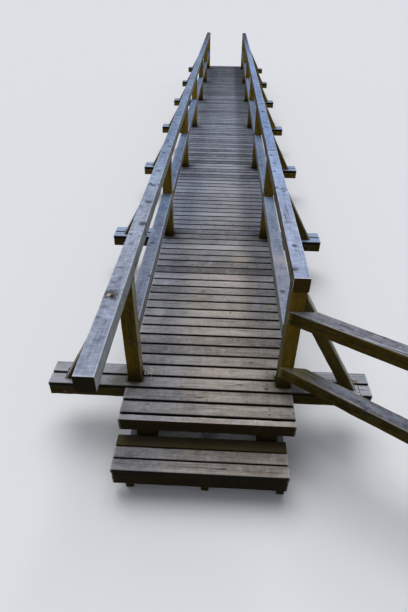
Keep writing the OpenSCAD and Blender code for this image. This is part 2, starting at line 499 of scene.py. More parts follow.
class Nodes:
    """A node tree, and short ways to add nodes to it."""

    def __init__(self, tree):
        self.tree = tree

    def feed(self, socket, value):
        if isinstance(value, bpy.types.NodeSocket):
            self.tree.links.new(value, socket)
        else:
            socket.default_value = value

    def node(self, kind, inputs=None, **settings):
        made = self.tree.nodes.new("ShaderNode" + kind)
        for setting, value in settings.items():
            setattr(made, setting, value)
        for socket, value in (inputs or {}).items():
            self.feed(made.inputs[socket], value)
        return made

    def attribute(self, name, output):
        return self.node("Attribute", attribute_name=name).outputs[output]

    def math(self, operation, first, second=0.0, clamp=False):
        values = {0: first, 1: second, 2: 0.0}
        return self.node("Math", values, operation=operation, use_clamp=clamp).outputs[0]

    def plus(self, first, second):
        return self.math("ADD", first, second)

    def times(self, *values):
        """The product of two or more numbers."""
        product = values[0]
        for value in values[1:]:
            product = self.math("MULTIPLY", product, value)
        return product

    def abs(self, value):
        return self.math("ABSOLUTE", value)

    def swing(self, noise, amount):
        """A noise value turned into a change about nought."""
        return self.times(self.math("SUBTRACT", noise, 0.5), amount)

    def swung(self, value, *swings, clamp=False):
        """A value that noises swing about, each by its own amount."""
        for noise, amount in swings:
            value = self.math("ADD", value, self.swing(noise, amount), clamp=clamp)
        return value

    def vector(self, operation, first, second=(0, 0, 0)):
        made = self.node("VectorMath", {0: first, 1: second}, operation=operation)
        return made.outputs["Value" if operation in ("LENGTH", "DISTANCE") else "Vector"]

    def stretch(self, vector, factors):
        return self.vector("MULTIPLY", vector, factors)

    def scaled(self, vector, factor):
        """Vector times a number that may vary."""
        made = self.node("VectorMath", {0: vector, "Scale": factor}, operation="SCALE")
        return made.outputs["Vector"]

    def parts(self, vector):
        return self.node("SeparateXYZ", {0: vector}).outputs

    def step(self, value, start, end, low=0.0, high=1.0):
        """Smooth step from low at start to high at end."""
        inputs = {"Value": value, 1: start, 2: end, 3: low, 4: high}
        return self.node("MapRange", inputs, interpolation_type="SMOOTHSTEP").outputs[0]

    def noise(self, vector, scale=1.0, detail=2.0, roughness=0.5, output=0):
        inputs = {"Vector": vector, "Scale": scale, "Detail": detail, "Roughness": roughness}
        return self.node("TexNoise", inputs).outputs[output]

    def mix(self, factor, under, over, mode="MIX"):
        made = self.node("Mix", {0: factor, 6: under, 7: over}, data_type="RGBA", blend_type=mode)
        return made.outputs[2]

    def between(self, factor, ends):
        """A colour between two painted ones."""
        return self.mix(factor, paint(*ends[0]), paint(*ends[1]))

    def cover(self, colour, share, over):
        """A colour partly covered by a painted one."""
        return self.mix(share, colour, paint(*over))

    def tinted(self, colour, tint):
        return self.mix(1.0, colour, tint, "MULTIPLY")

    def dimmed(self, colour, light):
        """A colour times one number."""
        grey = self.node("CombineColor", {0: light, 1: light, 2: light}).outputs[0]
        return self.tinted(colour, grey)


class Finish(Nodes):
    """One material and the nodes that make it."""

    def __init__(self, name):
        self.material = bpy.data.materials.new(name)
        self.material.use_nodes = True
        super().__init__(self.material.node_tree)
        self.shader = self.tree.nodes["Principled BSDF"]
        self.spot = self.node("TexCoord").outputs["Object"]

    def finish(self, colour, roughness, heights):
        """Wires colour, roughness and a stack of (height, depth in metres) into the shader."""
        self.feed(self.shader.inputs["Base Color"], colour)
        self.feed(self.shader.inputs["Roughness"], roughness)
        normal = None
        for height, depth in heights:
            bump = self.node("Bump", {"Height": height, "Distance": depth})
            if normal is not None:
                self.feed(bump.inputs["Normal"], normal)
            normal = bump.outputs["Normal"]
        self.feed(self.shader.inputs["Normal"], normal)
        return self.material


class Wood(Finish):
    """A timber's finish, with the values that all its colours depend on."""

    def __init__(self, name, look):
        super().__init__(name)
        self.look = look
        self.x, self.y, self.z = self.parts(self.spot)
        self.normal = self.parts(self.node("NewGeometry").outputs["Normal"])
        self.share = self.parts(self.attribute("share", "Vector"))
        self.blotch = self.noise(self.spot, scale=9.0, detail=4, roughness=0.65)
        self.figure = wood_figure(self)


# Noises in the wood: stretch along and across the grain, whether it bends round knots,
# detail and roughness
FIGURE_NOISES = dict(
    fibre=(3.0, 130.0, True, 5, 0.65),
    streak=(0.9, 24.0, True, 3, 0.5),
    fleck=(13.0, 46.0, True, 4, 0.72),
    patch=(1.6, 7.0, False, 4, 0.6),
    mottle=(38.0, 20.0, False, 3, 0.6),
)
KNOT_CELLS = (2.2, 17.0, 17.0)
SMALLEST_KNOT = 0.0001
CRACK_WIDTH = (0.014, 0.003)


def knots(wood, grain):
    """Knots in whorls: how near each point is to one, and the grain bent round them."""
    look = wood.look
    drift = wood.noise(wood.stretch(grain, (0.9, 0, 0)), detail=0)
    pushed = wood.node("CombineXYZ", {"X": wood.swing(drift, 0.5)}).outputs[0]
    spread = wood.stretch(wood.vector("ADD", grain, pushed), KNOT_CELLS)
    voronoi = wood.node("TexVoronoi", {"Vector": spread, "Scale": 1.0, "Randomness": 0.8})
    away = wood.vector("SUBTRACT", spread, voronoi.outputs["Position"])
    away = wood.vector("DIVIDE", away, KNOT_CELLS)
    ragged = wood.noise(grain, scale=70.0)
    distance = wood.swung(wood.vector("LENGTH", away), (ragged, look["knot_ripple"]))
    luck = wood.parts(voronoi.outputs["Color"])[0]
    sizes = {0: luck, 1: look["knot_scarcity"], 2: 1.0, 3: SMALLEST_KNOT, 4: look["knot_radius"]}
    nearness = wood.math("DIVIDE", distance, wood.node("MapRange", sizes).outputs[0])
    halo = wood.step(nearness, 3.0, 0.9)
    bent = wood.vector("SUBTRACT", grain, wood.scaled(away, wood.times(halo, 0.8)))
    return nearness, bent


def drying_cracks(wood, grain):
    """Long thin cracks along the grain, in some places only."""
    amount = wood.look["cracks"]
    field = wood.noise(wood.stretch(grain, (0.8, 34.0, 34.0)), detail=1.5, roughness=0.6)
    line = wood.step(wood.abs(wood.math("SUBTRACT", field, 0.5)), *CRACK_WIDTH)
    where = wood.noise(wood.stretch(grain, (1.7, 9.0, 9.0)))
    return wood.times(line, wood.step(where, 0.62 - amount, 0.68 - amount))


def wood_figure(wood):
    """Fibres, flecks, growth rings, knots and cracks that follow the grain of each timber."""
    grain = wood.attribute("grain", "Vector")
    sway = wood.noise(wood.stretch(grain, (1.3, 4.0, 4.0)), output=1)
    sway = wood.stretch(wood.vector("SUBTRACT", sway, (0.5, 0.5, 0.5)), (0, 0.03, 0.03))
    nearness, bent = knots(wood, wood.vector("ADD", grain, sway))
    ring_inputs = {
        "Vector": bent,
        "Scale": wood.look["ring_scale"],
        "Distortion": 2.0,
        "Detail": 2.0,
        "Detail Scale": 0.3,
    }
    rings = wood.node(
        "TexWave", ring_inputs, wave_type="RINGS", rings_direction="X", wave_profile="SAW"
    )
    figure = {
        "knot": nearness,
        "rings": rings.outputs["Fac"],
        "crack": drying_cracks(wood, bent),
    }
    for name, (lengthwise, across, bends, detail, roughness) in FIGURE_NOISES.items():
        vector = wood.stretch(bent if bends else grain, (lengthwise, across, across))
        figure[name] = wood.noise(vector, detail=detail, roughness=roughness)
    return figure


# Where the colours change along the bridge, in metres from the first posts
TINT_TURNS = (0.4, 3.0)
# Painted shade over the tops grows between these distances.
FAR_DIMMING = (8.5, 14.5)
# Painted light on the fronts grows between these distances.
FRONTS_TURN = (1.0, 9.0)
PATH_FADES = (7.5, 1.5)
NEAR_PATH_WIDENS = (0.9, 0.1)
RIGHT_SHADE_STARTS = (-0.4, 1.1)
RIGHT_SHADE_DEEPENS = (6.0, 14.0)
BLEACHING_GROWS = (0.6, 1.6)
EDGES_FADE = (0.6, 2.4)

# And across it, from the middle
PATH_LEFT = (-0.46, -0.02)
PATH_RIGHT = (0.60, 0.34)
PATH_RAILS = (0.70, 0.64)
RIGHT_SHADE = (0.20, 0.42)
OUTSIDE = (0.66, 0.78)


def weathered_colour(wood):
    """Silver where the timber faces up and brown and olive on its sides, with painted light and
    shade that follow which way each face points.
    """
    look = wood.look
    figure = wood.figure
    shade = wood.swung(
        wood.swing(figure["patch"], 1.2),
        (figure["streak"], look["streaks"]),
        (figure["fleck"], look["flecks"]),
        (wood.attribute("tone", "Fac"), look["tone_spread"]),
        (wood.blotch, 0.9),
        (figure["mottle"], look["mottle"]),
    )
    shade = wood.math("ADD", shade, 0.5, clamp=True)
    top = wood.between(shade, look["top"])
    if look["trodden"]:
        top = trodden_top(wood, shade, top)
    tint = wood.between(wood.step(wood.y, *TINT_TURNS), look["tints"])
    # Painted shade over the tops towards the far end.
    dimming = wood.step(wood.y, *FAR_DIMMING, 1.0, look["far_light"])
    top = wood.tinted(top, wood.scaled(tint, dimming))
    lined = wood.swung(shade, (figure["streak"], look["side_streaks"]), clamp=True)
    # Side colours are raised as painted light; faces towards -X are dimmed with painted shade, and
    # faces towards +Y lose part of the painted light.
    side = wood.between(lined, look["side"])
    side = wood.dimmed(side, wood.step(wood.normal[0], -0.3, 0.3, look["left_light"], 1.0))
    back = wood.tinted(side, paint(*look["back_tint"]))
    side = wood.mix(wood.step(wood.normal[1], 0.35, 0.8), side, back)
    # Fronts, facing the near end, are painted shade, turning lighter and yellower further along
    # with painted light.
    near_front = wood.between(shade, look["front"])
    far_front = wood.between(shade, look["far_front"])
    front = wood.mix(wood.step(wood.y, *FRONTS_TURN), near_front, far_front)
    body = wood.mix(wood.step(wood.normal[1], -0.35, -0.8), side, front)
    upward = wood.step(wood.swung(wood.normal[2], (figure["streak"], 0.2)), 0.14, 0.46)
    return wood.mix(upward, body, top), upward


def trodden_top(wood, shade, top):
    """Warmer boards where people walk, marks across them, and bleached ends outside the rails."""
    look = wood.look
    from_middle = wood.abs(wood.x)
    wander = wood.noise(wood.stretch(wood.spot, (2.5, 1.2, 1.0)), detail=3)
    aside = wood.swung(wood.x, (wander, 0.8))
    right_limit = wood.math(
        "MAXIMUM", wood.step(aside, *PATH_RIGHT, 0.25, 1.0), wood.step(wood.y, *NEAR_PATH_WIDENS)
    )
    path = wood.times(
        wood.step(aside, *PATH_LEFT),
        right_limit,
        wood.step(wood.y, *PATH_FADES),
        wood.step(from_middle, *PATH_RAILS),
    )
    top = wood.mix(path, top, wood.between(shade, look["path"]))
    dirt = wood.noise(wood.stretch(wood.spot, (60.0, 14.0, 14.0)))
    top = wood.cover(top, wood.times(wood.step(dirt, 0.54, 0.76), 0.22), look["dirt_colour"])
    crossing = wood.noise(wood.stretch(wood.spot, (8.0, 4.0, 4.0)), detail=4, roughness=0.6)
    top = wood.cover(top, wood.times(wood.step(crossing, 0.50, 0.78), 0.42), look["mark_colour"])
    shaded_side = wood.step(wood.x, *RIGHT_SHADE)
    shaded_side = wood.times(shaded_side, wood.step(wood.y, *RIGHT_SHADE_STARTS))
    right_light = wood.step(wood.y, *RIGHT_SHADE_DEEPENS, *look["right_light"])
    top = wood.dimmed(top, wood.step(shaded_side, 0.0, 1.0, 1.0, right_light))
    bleaching = wood.step(wood.y, *BLEACHING_GROWS, 0.3, 0.9)
    outside = wood.times(wood.step(from_middle, *OUTSIDE), bleaching)
    return wood.cover(top, outside, look["bleached_colour"])


def edge_wear_and_light(wood, colour):
    """Upper edges, pale with wear, but painted highlight on the braces and painted shade on the
    deck and step boards beside their gaps; and broken pale fibres on the edges of the sawn ends.
    """
    look = wood.look
    fleck = wood.figure["fleck"]
    ridge = wood.math("MINIMUM", wood.abs(wood.share[1]), wood.share[2])
    ridge = wood.swung(ridge, (wood.blotch, 0.10), (fleck, 0.12))
    # Edge colour: wear on most timbers, painted highlight on the braces, painted shade on the
    # boards.
    edge_share = wood.times(
        wood.step(ridge, look["edge_start"], 1.0),
        look["edge_strength"],
        wood.step(wood.share[1], -0.3, 0.3, 1.0, look["left_edge"]),
        wood.step(wood.y, *EDGES_FADE, 1.0, look["far_edge"]),
    )
    colour = wood.cover(colour, edge_share, look["edge_colour"])
    from_end = wood.swung(wood.attribute("from_end", "Fac"), (fleck, 0.04))
    fringe = wood.times(wood.step(from_end, 0.016, 0.004), look["end_fringe"])
    return wood.cover(colour, fringe, look["fringe_colour"])


def green_growth(wood, colour):
    """Green growth low down."""
    look = wood.look
    low = wood.step(wood.z, *look["algae_heights"])
    green = wood.times(low, wood.step(wood.blotch, 0.40, 0.66), look["algae"])
    return wood.cover(colour, green, look["algae_colour"])


def shaded_damp_feet(wood, colour):
    """Dark feet of the posts, just above the deck: painted shade, with damp."""
    look = wood.look
    height = wood.swung(wood.z, (wood.blotch, 0.12))
    foot = wood.times(wood.step(height, deck_top + 0.20, deck_top + 0.01), look["foot"])
    return wood.cover(colour, foot, look["foot_shade_colour"])


def damp_and_light_by_posts(wood, colour):
    """Damp wood round each post, with a green rim close to it; on the wing rails both are
    lightened, painted light against the posts' shadow.
    """
    look = wood.look
    bay_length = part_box("posts_2")[0].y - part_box("posts_1")[0].y
    along_bay = wood.math("PINGPONG", wood.y, bay_length / 2)
    post_middle = middle_of(solids_of("posts_1")[-1]).x
    aside = wood.math("SUBTRACT", wood.abs(wood.x), post_middle)
    squares = wood.plus(wood.math("POWER", along_bay, 2.0), wood.math("POWER", aside, 2.0))
    reach = wood.swung(wood.math("SQRT", squares), (wood.blotch, look["damp_and_light_ripple"]))
    shown = wood.step(wood.normal[2], 0.2, 0.7, 0.0, look["damp_and_light"])
    damp_and_light = wood.times(wood.step(reach, look["damp_and_light_reach"], 0.08), shown)
    colour = wood.cover(colour, damp_and_light, look["damp_and_light_colour"])
    rim = wood.swung(wood.math("MAXIMUM", along_bay, wood.abs(aside)), (wood.blotch, 0.03))
    rim = wood.times(wood.step(rim, look["moss_reach"], 0.060), look["moss"])
    return wood.cover(colour, rim, look["moss_colour"])


def shaded_back_board(wood, colour):
    """The step board at the back, under the end of the deck, darkened: painted shade, with some
    stain.
    """
    back_board = corners_of(solids_of("step_treads")[-1])[0].y
    under = wood.step(wood.y, back_board - 0.006, back_board, 0.0, wood.look["under_deck_shade"])
    return wood.cover(colour, under, wood.look["under_deck_shade_colour"])


def marked_top(wood, colour, upward):
    """Soft spots with ragged rims on top of a node's timbers: knots, dirt, scuffs, rust and one
    painted shadow.
    """
    node, marks = wood.look["marks"]
    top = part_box(node)[1].z
    ragged = wood.noise(wood.spot, scale=55.0, detail=3, roughness=0.6)
    for x, y, radius, tint, strength in marks:
        distance = wood.vector("DISTANCE", wood.spot, (x, y, top))
        distance = wood.swung(distance, (ragged, radius * 1.5))
        share = wood.times(wood.step(distance, radius, radius * 0.3, 0.0, strength), upward)
        colour = wood.cover(colour, share, tint)
    return colour


def lichen_specks(wood, colour):
    """A patch of small white specks on the deck beside the left post."""
    distance = wood.vector("DISTANCE", wood.spot, (*LICHEN_PLACE, deck_top))
    specks = wood.step(wood.noise(wood.spot, scale=95.0, detail=1), 0.56, 0.64)
    patch = wood.step(distance, LICHEN_RADIUS * 1.3, LICHEN_RADIUS * 0.8, 0.0, 0.9)
    return wood.cover(colour, wood.times(specks, patch), LICHEN_COLOUR)


def weathered_timber(name, look):
    """Weathered softwood: silvered where it faces up, brown below, dark on its sawn ends."""
    wood = Wood(name, look)
    figure = wood.figure
    fibre = figure["fibre"]
    colour, upward = weathered_colour(wood)
    colour = wood.dimmed(colour, wood.plus(wood.times(fibre, 1.1), 0.45))
    late = wood.times(wood.step(figure["rings"], 0.55, 1.0), look["ring_depth"])
    colour = wood.cover(colour, late, look["ring_colour"])
    colour = edge_wear_and_light(wood, colour)
    colour = green_growth(wood, colour)
    if look["foot"]:
        colour = shaded_damp_feet(wood, colour)
    if look["damp_and_light"]:
        colour = damp_and_light_by_posts(wood, colour)
    if look["under_deck_shade"]:
        colour = shaded_back_board(wood, colour)

    knot = wood.step(figure["knot"], 1.05, 0.75)
    halo = wood.times(wood.step(figure["knot"], look["halo_reach"], 0.9), look["halo_depth"])
    colour = wood.cover(colour, halo, look["knot_edge"])
    colour = wood.cover(colour, wood.times(knot, look["knot_depth"]), look["knot_colour"])
    if look["marks"]:
        colour = marked_top(wood, colour, upward)
    if look["lichen"]:
        colour = lichen_specks(wood, colour)

    dark_ring = wood.times(wood.step(figure["rings"], 0.3, 0.8), 0.6)
    end = wood.between(dark_ring, look["end"])
    colour = wood.mix(wood.attribute("sawn", "Fac"), colour, end)
    colour = wood.cover(colour, wood.times(figure["crack"], 0.85), look["crack_colour"])

    roughness = wood.math("ADD", wood.times(fibre, 0.22), 0.70, clamp=True)
    relief = wood.plus(wood.times(fibre, 0.5), wood.times(figure["streak"], 0.4))
    relief = wood.math("SUBTRACT", relief, wood.times(late, 0.3))
    raised = wood.math("SUBTRACT", wood.times(knot, 0.6), figure["crack"])
    wood.feed(wood.shader.inputs["Specular IOR Level"], 0.10)
    heights = [(relief, look["grain_depth"]), (raised, 0.004), (figure["fleck"], 0.0015)]
    return wood.finish(colour, roughness, heights)


def dull_steel(name, zinc_ends, rust_ends):
    """Galvanised steel gone dull, with rust in its hollows."""
    steel = Finish(name)
    rust = steel.noise(steel.spot, scale=90.0, detail=4, roughness=0.7)
    rust = steel.step(rust, 0.32, 0.56)
    speck = steel.noise(steel.spot, scale=400.0)
    colour = steel.mix(rust, steel.between(speck, zinc_ends), steel.between(speck, rust_ends))
    roughness = steel.plus(steel.times(rust, 0.30), 0.50)
    steel.feed(steel.shader.inputs["Metallic"], 0.35)
    return steel.finish(colour, roughness, [(speck, 0.0003), (rust, 0.0004)])


# Looks. Pairs of colours run from dark to light, but from light to dark for sawn ends, and
# from near to far for tints and for the light on the deck's right side.
RAIL_LOOK = dict(
    top=((106, 112, 128), (176, 185, 206)),
    tints=((255, 255, 255), (220, 238, 255)),
    far_light=0.27,
    # Side colours raised as painted light.
    side=((118, 124, 126), (172, 178, 182)),
    side_streaks=0.9,
    left_light=1.0,
    back_tint=(190, 186, 172),
    # Dark fronts are painted shade; far fronts, lighter, are painted light.
    front=((46, 38, 18), (88, 74, 40)),
    far_front=((60, 52, 16), (110, 98, 36)),
    end=((44, 36, 10), (28, 23, 6)),
    trodden=False,
    marks=None,
    lichen=False,
    ring_colour=(78, 76, 76),
    ring_depth=0.1,
    ring_scale=48.0,
    streaks=0.4,
    flecks=0.8,
    mottle=1.3,
    edge_start=0.76,
    edge_strength=0.8,
    left_edge=0.35,
    far_edge=1.0,
    edge_colour=(196, 203, 218),
    end_fringe=0.5,
    fringe_colour=(206, 208, 214),
    knot_scarcity=0.4,
    knot_radius=0.02,
    knot_ripple=0.026,
    knot_depth=0.35,
    halo_reach=2.3,
    halo_depth=0.55,
    knot_edge=(82, 80, 88),
    knot_colour=(58, 52, 50),
    cracks=-0.08,
    crack_colour=(22, 20, 18),
    tone_spread=0.3,
    algae_heights=(1.6, 0.9),
    algae=0.12,
    algae_colour=(86, 88, 66),
    foot=0.0,
    damp_and_light=0.0,
    under_deck_shade=0.0,
    grain_depth=0.0016,
)

HANDRAIL_LOOK = dict(
    RAIL_LOOK,
    knot_scarcity=0.24,
    knot_radius=0.024,
    knot_depth=0.5,
    halo_depth=0.72,
)

LEFT_HANDRAIL_LOOK = dict(
    HANDRAIL_LOOK,
    marks=("handrail_left", LEFT_HANDRAIL_MARKS),
    # Lighter side: painted light on the inner face towards +X.
    side=((126, 132, 132), (190, 197, 200)),
    end=((33, 27, 8), (20, 16, 4)),
)

RIGHT_HANDRAIL_LOOK = dict(
    HANDRAIL_LOOK,
    marks=("handrail_right", RIGHT_HANDRAIL_MARKS),
    top=((122, 133, 158), (182, 195, 224)),
    far_light=0.2,
    # Darker side: painted shade on the inner face towards -X; the lighter brown end face is painted
    # light.
    side=((70, 66, 52), (124, 118, 100)),
    end=((72, 58, 20), (48, 39, 14)),
    end_fringe=0.95,
)

LEFT_MID_RAIL_LOOK = dict(
    RAIL_LOOK,
    top=((103, 111, 131), (168, 179, 204)),
    side=((118, 117, 122), (176, 176, 182)),
)

RIGHT_MID_RAIL_LOOK = dict(
    RAIL_LOOK,
    marks=("midrail_right", RIGHT_MID_RAIL_MARKS),
    # Darker side: painted shade on the inner face towards -X.
    side=((98, 99, 98), (150, 151, 152)),
)

WING_LOOK = dict(
    RAIL_LOOK,
    top=((88, 91, 99), (168, 171, 184)),
    # Dark fronts are painted shade.
    front=((47, 37, 3), (98, 80, 18)),
    cracks=0.24,
    streaks=1.3,
    flecks=1.5,
    mottle=0.8,
    edge_start=0.7,
    left_edge=1.0,
    edge_colour=(172, 164, 150),
    algae=0.3,
    # Painted light round the post, where its shadow falls; the moss colour is lightened for it too.
    damp_and_light=0.55,
    damp_and_light_reach=0.26,
    damp_and_light_ripple=0.2,
    damp_and_light_colour=(164, 168, 176),
    moss=0.65,
    moss_reach=0.076,
    moss_colour=(138, 132, 50),
    grain_depth=0.003,
)

WING_MID_LOOK = dict(
    WING_LOOK,
    top=((84, 86, 95), (158, 161, 176)),
    # Damp round the post, lightened with painted light against its shadow.
    damp_and_light=0.72,
    damp_and_light_reach=0.46,
    damp_and_light_ripple=0.3,
    damp_and_light_colour=(122, 117, 60),
)

FRAME_LOOK = dict(
    RAIL_LOOK,
    top=((100, 104, 116), (176, 180, 192)),
    side=((98, 93, 78), (148, 142, 124)),
    # Dark fronts are painted shade; far fronts, lighter and yellower, are painted light.
    front=((42, 33, 4), (90, 71, 15)),
    far_front=((106, 88, 18), (186, 152, 44)),
    end=((62, 50, 24), (34, 26, 10)),
    end_fringe=0.0,
    streaks=0.9,
    flecks=1.0,
    mottle=0.5,
    ring_depth=0.22,
    cracks=0.08,
    knot_depth=0.7,
    knot_ripple=0.014,
    edge_start=0.82,
    edge_strength=0.55,
    left_edge=1.0,
    edge_colour=(150, 142, 112),
    algae_heights=(1.3, 0.35),
    algae=0.7,
    algae_colour=(66, 62, 16),
)

POST_LOOK = dict(
    FRAME_LOOK,
    # Dark fronts are painted shade; light sides are painted light, dimmed with painted shade
    # towards -X and partly taken back towards +Y.
    front=((60, 47, 5), (126, 100, 22)),
    side=((150, 140, 114), (214, 204, 174)),
    left_light=0.22,
    back_tint=(150, 138, 100),
    # A wide tone spread, so that the first right post can carry its painted sunlight.
    tone_spread=0.7,
    # Dark feet: painted shade, with damp.
    foot=0.85,
    foot_shade_colour=(34, 31, 10),
)

BRACE_LOOK = dict(
    FRAME_LOOK,
    # Dark fronts are painted shade.
    front=((38, 30, 6), (98, 80, 26)),
    # Pale top and upper edge: painted highlight along the upper arris.
    top=((138, 135, 122), (206, 203, 190)),
    edge_start=0.62,
    edge_strength=0.95,
    edge_colour=(190, 187, 174),
)

DECK_LOOK = dict(
    RAIL_LOOK,
    marks=("deck_bay_1", DECK_MARKS),
    lichen=True,
    top=((104, 105, 111), (178, 178, 187)),
    tints=((255, 253, 245), (234, 244, 255)),
    far_light=0.56,
    right_light=(0.72, 0.52),
    trodden=True,
    path=((112, 106, 103), (190, 182, 178)),
    mark_colour=(172, 178, 198),
    dirt_colour=(74, 68, 66),
    bleached_colour=(170, 180, 202),
    side=((58, 50, 38), (96, 86, 70)),
    # Near-black fronts: painted shade in the gaps between the boards.
    front=((12, 10, 5), (28, 23, 12)),
    far_front=((12, 10, 5), (28, 23, 12)),
    end=((110, 106, 104), (62, 56, 50)),
    end_fringe=0.25,
    streaks=0.5,
    mottle=0.6,
    # Dark upper edges: painted shade beside the gaps, fading further along.
    edge_start=0.8,
    edge_strength=0.9,
    left_edge=1.0,
    far_edge=0.55,
    edge_colour=(38, 32, 26),
    knot_scarcity=0.74,
    knot_radius=0.015,
    knot_ripple=0.014,
    knot_depth=0.7,
    cracks=0.04,
    tone_spread=0.78,
    ring_scale=40.0,
    ring_depth=0.14,
    algae_heights=(0.7, 0.5),
    algae=0.1,
    algae_colour=(46, 46, 26),
    damp_and_light=0.55,
    damp_and_light_reach=0.22,
    damp_and_light_ripple=0.16,
    damp_and_light_colour=(58, 56, 40),
    moss=0.75,
    moss_reach=0.085,
    moss_colour=(62, 60, 20),
    grain_depth=0.0012,
)

TREAD_LOOK = dict(
    DECK_LOOK,
    marks=None,
    # Painted shade, with some stain, on the back step board under the deck's end.
    under_deck_shade=0.92,
    under_deck_shade_colour=(62, 51, 18),
    damp_and_light=0.0,
)

TRIMMER_LOOK = dict(
    TREAD_LOOK,
    under_deck_shade=0.0,
    # Darker fronts are painted shade.
    front=((24, 18, 6), (52, 42, 16)),
    edge_strength=0.0,
    algae=0.0,
)

BEAM_LOOK = dict(
    FRAME_LOOK,
    side=((66, 58, 40), (104, 94, 70)),
    front=((48, 40, 22), (80, 66, 38)),
    far_front=((48, 40, 22), (80, 66, 38)),
    algae_heights=(0.5, 0.1),
    algae=0.65,
)

# Each finish's material and look
TIMBER_FINISHES = dict(
    left_handrail=("knotty_handrail", LEFT_HANDRAIL_LOOK),
    right_handrail=("silvered_handrail", RIGHT_HANDRAIL_LOOK),
    left_mid_rails=("shaded_mid_rail", LEFT_MID_RAIL_LOOK),
    right_mid_rails=("silvered_mid_rail", RIGHT_MID_RAIL_LOOK),
    frame_timber=("brown_frame", FRAME_LOOK),
    posts=("brown_post", POST_LOOK),
    braces=("brown_brace", BRACE_LOOK),
    deck_board=("worn_deck", DECK_LOOK),
    treads=("worn_tread", TREAD_LOOK),
    beam_timber=("shaded_beam", BEAM_LOOK),
    wing=("cracked_wing", WING_LOOK),
    wing_mid=("green_wing", WING_MID_LOOK),
    trimmer=("worn_trimmer", TRIMMER_LOOK),
)
STEEL_FINISHES = dict(
    bolts=("rusty_steel", ((56, 54, 48), (92, 88, 78)), ((44, 28, 16), (88, 54, 28))),
    nails=("grey_steel", ((92, 90, 86), (128, 125, 120)), ((74, 62, 52), (110, 94, 80))),
)


# Dressing the frame's nodes


def wear_finish(piece, finish, nodes=()):
    """Gives a piece its material and its body, and hides the CAD nodes that it stands for."""
    piece.data.materials.clear()
    piece.data.materials.append(finishes[finish])
    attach(piece, "root")
    if nodes:
        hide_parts(*nodes)


def dress(node, name, slot, shape=RAIL_SHAPE, wear=TIMBER_WEAR, look=None, tones=None):
    """Lays a weathered timber on every solid of a node."""
    chance = random.Random(node)
    solids = solids_of(node)
    tones = tones or [None] * len(solids)
    timbers = [lay_timber(solid, chance, shape, tone) for solid, tone in zip(solids, tones)]
    piece = join_pieces(timbers, name)
    weather_shape(piece, *wear)
    wear_finish(piece, look or slot, [node])


def dress_main_beam(side):
    """A deep beam with a housing for each cross timber."""
    node = "main_beam_" + side
    beam = lay_timber(solids_of(node)[0], random.Random(node), BEAM_SHAPE)
    low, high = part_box(node)
    play = Vector((HOUSING_PLAY,) * 3)
    housings = []
    for number in frame_numbers:
        for solid in solids_of(f"transoms_{number}"):
            start, end = corners_of(solid)
            start, end = start - play, end + play
            start.x, end.x = low.x - HOUSING_REACH, high.x + HOUSING_REACH
            end.z = high.z + HOUSING_REACH
            housings.append(new_block(end - start, (start + end) / 2))
    cut_out(beam, housings)
    piece = join_pieces([beam], side + "_main_beam")
    weather_shape(piece, *BEAM_WEAR)
    wear_finish(piece, "beam_timber", [node])


def notch_cutters(number):
    """Blocks a little larger than the posts and braces, to cut the long boards with."""
    cutters = []
    for node in (f"posts_{number}", f"braces_{number}"):
        for solid in solids_of(node):
            matrix, size, _ = timber_frame(solid)
            cutter = new_block([side + 2 * NOTCH_PLAY for side in size])
            cutter.data.transform(matrix)
            cutters.append(cutter)
    return cutters


def dress_deck(node, name, number=None):
    """Deck boards, with the long ones over the transoms notched round posts and braces."""
    chance = random.Random(node)
    tones = dict(enumerate(DECK_TONES.get(node, ())))
    boards = []
    for place, solid in enumerate(solids_of(node)):
        low, high = corners_of(solid)
        is_long = high.x - low.x > LONG_BOARD
        if is_long:
            # One triangle from corner to corner gives the board's size without its notches
            solid = [(low, high, low)]
        tone = tones.get(place)
        board = lay_timber(solid, chance, DECK_SHAPE, tone, ACROSS, DECK_ROCK, DECK_SINK)
        if is_long:
            cut_out(board, notch_cutters(number))
        boards.append(board)
    piece = join_pieces(boards, name)
    weather_shape(piece, *BOARD_WEAR)
    wear_finish(piece, "deck_board", [node])


# Fixings


def new_disc(sides, radius, depth, height=0.0):
    """A disc that is left in edit mode, with its upper face selected."""
    clear_selection()
    bpy.ops.mesh.primitive_cylinder_add(
        vertices=sides, radius=radius, depth=depth, location=(0, 0, height)
    )
    disc = just_added()
    set_mode("EDIT")
    choose(disc, "FACE", lambda face: face.normal.z > UPRIGHT)
    return disc


def model_nail():
    """A flat nail head with an eased rim."""
    nail = new_disc(8, NAIL_RADIUS, NAIL_HEIGHT)
    bpy.ops.mesh.inset(thickness=NAIL_RADIUS * NAIL_RIM)
    bpy.ops.transform.translate(value=(0, 0, NAIL_HEIGHT * NAIL_CROWN))
    set_mode("OBJECT")
    return nail


def nail_boards():
    """Two nails through each board into each main beam."""
    nail = model_nail()
    chance = random.Random("nails")
    low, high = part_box("main_beam_right")
    line = (low.x + high.x) / 2
    heads = []
    for node in deck_nodes:
        for solid in solids_of(node):
            start, end = corners_of(solid)
            if end.x - start.x < line:
                continue
            for side in (-1, 1):
                for y in (start.y + NAIL_INSET, end.y - NAIL_INSET):
                    place = Vector((side * line, y, end.z - NAIL_HEIGHT))
                    place.x += chance.uniform(-NAIL_STRAY_X, NAIL_STRAY_X)
                    place.y += chance.uniform(-NAIL_STRAY_Y, NAIL_STRAY_Y)
                    heads.append(own_copy(nail, Matrix.Translation(place)))
    bpy.data.objects.remove(nail)
    wear_finish(join_pieces(heads, "deck_nails"), "nails")


